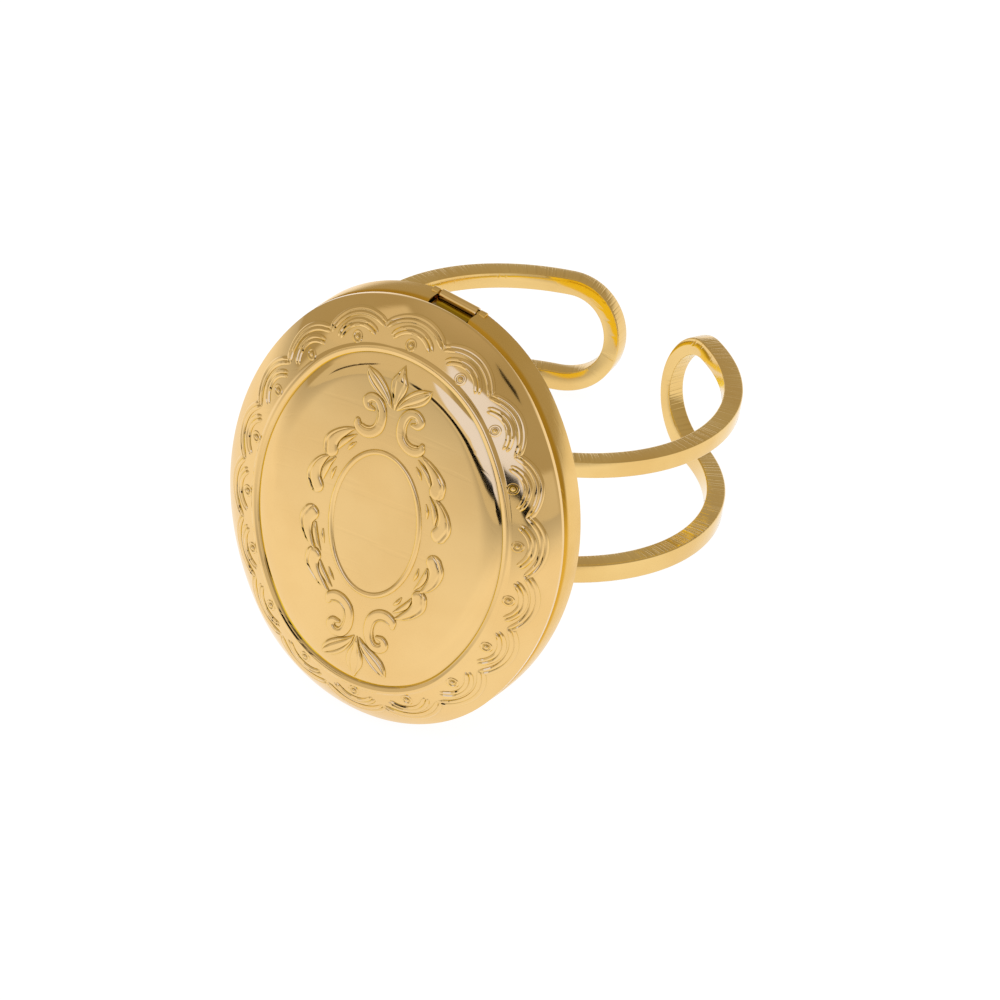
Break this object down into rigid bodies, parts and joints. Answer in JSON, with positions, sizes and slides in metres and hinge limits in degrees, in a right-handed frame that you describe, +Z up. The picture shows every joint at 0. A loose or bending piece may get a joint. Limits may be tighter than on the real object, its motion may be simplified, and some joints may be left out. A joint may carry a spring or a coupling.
{
  "type": "adjustable open ring with an oval locket head",
  "caption": "Slotted open finger band, bendable to size, soldered to the back of an oval hinged locket with a cast scroll-and-scallop cover; lying on its side.",
  "frame": {"origin": "on the table under the middle of the ring's box, as it lies at rest on its side", "axes": "+Z up; +Y from the locket to the band's open back; +X across the finger, to the viewer's right when facing the locket with its hinge up"},
  "size_m": [0.0197, 0.0275, 0.0223],
  "materials": {
    "gold_plate": "polished gold plate, brushed on the back shell's wall, lightly worn",
    "cast_gold_plate": "polished pale gold plate over cast relief, fine scratches and pits",
    "pin_gold": "deeper yellow gold plate"
  },
  "bodies": {
    "ring": {"band_and_back_shell": "gold_plate", "hinge_pin": "pin_gold"},
    "cover": {"front_cover": "cast_gold_plate"}
  },
  "joints": [
    {"name": "cover_hinge", "type": "hinge", "parent": "ring", "child": "cover", "pos_m": [0.00112, -0.00386, 0.02151], "axis": [-0.9918, 0.0425, 0.1207], "range_deg": [0, 150]}
  ]
}
